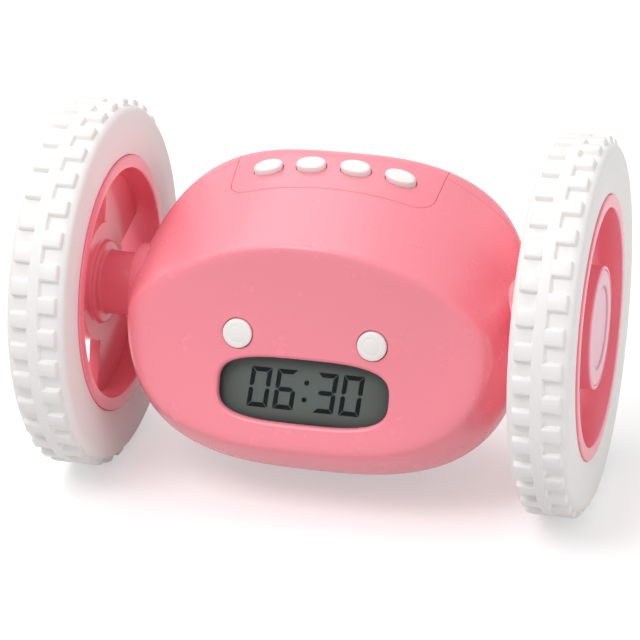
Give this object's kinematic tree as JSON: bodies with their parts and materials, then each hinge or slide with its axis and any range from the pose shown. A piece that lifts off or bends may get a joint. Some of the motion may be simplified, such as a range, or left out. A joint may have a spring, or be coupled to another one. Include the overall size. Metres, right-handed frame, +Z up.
{
  "type": "runaway alarm clock",
  "caption": "Barrel-shaped alarm clock with a digital display that drives off on two motor-driven wheels when it rings.",
  "frame": {"origin": "on the floor under the middle of the axle", "axes": "+X along the axle to the wheel on the right as the face is seen, -Y out of the face, +Z up"},
  "size_m": [0.1314, 0.089, 0.089],
  "materials": {
    "pink_shell": "glossy moulded ABS, pink",
    "pink_panel": "glossy moulded ABS, pink",
    "clear_window": "clear moulded window",
    "display_glass": "grey-green liquid crystal display",
    "white_frame": "moulded",
    "black_rubber": "layered conductive rubber",
    "board": "green solder mask",
    "black_plastic": "moulded",
    "speaker_black": "pressed frame and paper cone",
    "contact_plate": "nickel plated",
    "cell_jacket": "printed jacket, plain",
    "bright_steel": "zinc plated",
    "motor_can": "drawn can",
    "gearbox_plastic": "moulded acetal",
    "gear_nylon": "moulded nylon",
    "tyre_white": "satin white rubber",
    "rim_pink": "glossy moulded ABS, pink",
    "hub_pale_pink": "glossy moulded ABS, pale pink",
    "button_white": "satin moulded, warm white"
  },
  "bodies": {
    "chassis": {"front_shell": "pink_shell", "rear_shell": "pink_shell", "top_panel": "pink_panel", "lcd_window": "clear_window", "lcd_glass": "display_glass", "lcd_frame": "white_frame", "zebra_strip": "black_rubber", "main_board": "board", "board_chips": "black_plastic", "eye_switches": "black_plastic", "button_board": "board", "top_switches": "black_plastic", "speaker": "speaker_black", "battery_holder": "black_plastic", "battery_contacts": "contact_plate", "battery_cells": "cell_jacket", "shell_screws": "bright_steel", "board_screws": "bright_steel", "left_motor": "motor_can", "right_motor": "motor_can", "left_gearbox_case": "gearbox_plastic", "right_gearbox_case": "gearbox_plastic", "left_gearbox_cover": "gearbox_plastic", "right_gearbox_cover": "gearbox_plastic", "left_gear_pins": "bright_steel", "right_gear_pins": "bright_steel", "left_bush": "gearbox_plastic", "right_bush": "gearbox_plastic"},
    "battery_door": {"battery_door": "pink_shell", "door_screw": "bright_steel"},
    "left_wheel": {"left_tyre": "tyre_white", "left_rim": "rim_pink", "left_hub_cap": "hub_pale_pink", "left_axle": "bright_steel", "left_output_gear": "gear_nylon", "left_wheel_screw": "bright_steel"},
    "left_pinion": {"left_pinion": "gear_nylon", "left_motor_shaft": "bright_steel"},
    "left_first_gear": {"left_first_gear": "gear_nylon"},
    "left_second_gear": {"left_second_gear": "gear_nylon"},
    "right_wheel": {"right_tyre": "tyre_white", "right_rim": "rim_pink", "right_hub_cap": "hub_pale_pink", "right_axle": "bright_steel", "right_output_gear": "gear_nylon", "right_wheel_screw": "bright_steel"},
    "right_pinion": {"right_pinion": "gear_nylon", "right_motor_shaft": "bright_steel"},
    "right_first_gear": {"right_first_gear": "gear_nylon"},
    "right_second_gear": {"right_second_gear": "gear_nylon"},
    "left_eye_button": {"left_eye_button": "button_white"},
    "right_eye_button": {"right_eye_button": "button_white"},
    "top_button_1": {"top_button_1": "button_white"},
    "top_button_2": {"top_button_2": "button_white"},
    "top_button_3": {"top_button_3": "button_white"},
    "top_button_4": {"top_button_4": "button_white"}
  },
  "joints": [
    {"name": "left_wheel_spin", "type": "hinge", "parent": "chassis", "child": "left_wheel", "pos_m": [0, 0, 0.0445], "axis": [1, 0, 0], "continuous": true},
    {"name": "left_second_gear_spin", "type": "hinge", "parent": "chassis", "child": "left_second_gear", "pos_m": [0, 0.01126, 0.04731], "axis": [1, 0, 0], "continuous": true},
    {"name": "left_first_gear_spin", "type": "hinge", "parent": "chassis", "child": "left_first_gear", "pos_m": [0, 0.00884, 0.05701], "axis": [1, 0, 0], "continuous": true},
    {"name": "left_pinion_spin", "type": "hinge", "parent": "chassis", "child": "left_pinion", "pos_m": [0, -0.00087, 0.05459], "axis": [1, 0, 0], "continuous": true},
    {"name": "right_wheel_spin", "type": "hinge", "parent": "chassis", "child": "right_wheel", "pos_m": [0, 0, 0.0445], "axis": [1, 0, 0], "continuous": true},
    {"name": "right_second_gear_spin", "type": "hinge", "parent": "chassis", "child": "right_second_gear", "pos_m": [0, 0.01126, 0.04731], "axis": [1, 0, 0], "continuous": true},
    {"name": "right_first_gear_spin", "type": "hinge", "parent": "chassis", "child": "right_first_gear", "pos_m": [0, 0.00884, 0.05701], "axis": [1, 0, 0], "continuous": true},
    {"name": "right_pinion_spin", "type": "hinge", "parent": "chassis", "child": "right_pinion", "pos_m": [0, -0.00087, 0.05459], "axis": [1, 0, 0], "continuous": true},
    {"name": "left_eye_press", "type": "slide", "parent": "chassis", "child": "left_eye_button", "axis": [0, 0.9877, -0.1564], "range_m": [0, 0.0008], "stiffness_N_per_m": 500, "springref_m": -0.0004},
    {"name": "right_eye_press", "type": "slide", "parent": "chassis", "child": "right_eye_button", "axis": [0, 0.9877, -0.1564], "range_m": [0, 0.0008], "stiffness_N_per_m": 500, "springref_m": -0.0004},
    {"name": "top_press_1", "type": "slide", "parent": "chassis", "child": "top_button_1", "axis": [0, 0.3387, -0.9409], "range_m": [0, 0.0008], "stiffness_N_per_m": 500, "springref_m": -0.0004},
    {"name": "top_press_2", "type": "slide", "parent": "chassis", "child": "top_button_2", "axis": [0, 0.3387, -0.9409], "range_m": [0, 0.0008], "stiffness_N_per_m": 500, "springref_m": -0.0004},
    {"name": "top_press_3", "type": "slide", "parent": "chassis", "child": "top_button_3", "axis": [0, 0.3387, -0.9409], "range_m": [0, 0.0008], "stiffness_N_per_m": 500, "springref_m": -0.0004},
    {"name": "top_press_4", "type": "slide", "parent": "chassis", "child": "top_button_4", "axis": [0, 0.3387, -0.9409], "range_m": [0, 0.0008], "stiffness_N_per_m": 500, "springref_m": -0.0004},
    {"name": "door_lift", "type": "slide", "parent": "chassis", "child": "battery_door", "axis": [0, -0.0349, -0.9994], "range_m": [0, 0.03]}
  ],
  "couplings": [
    {"joint": "left_second_gear_spin", "follows": "left_wheel_spin", "ratio": -4.8},
    {"joint": "left_first_gear_spin", "follows": "left_wheel_spin", "ratio": 19.2},
    {"joint": "left_pinion_spin", "follows": "left_wheel_spin", "ratio": -76.8},
    {"joint": "right_second_gear_spin", "follows": "right_wheel_spin", "ratio": -4.8},
    {"joint": "right_first_gear_spin", "follows": "right_wheel_spin", "ratio": 19.2},
    {"joint": "right_pinion_spin", "follows": "right_wheel_spin", "ratio": -76.8}
  ]
}
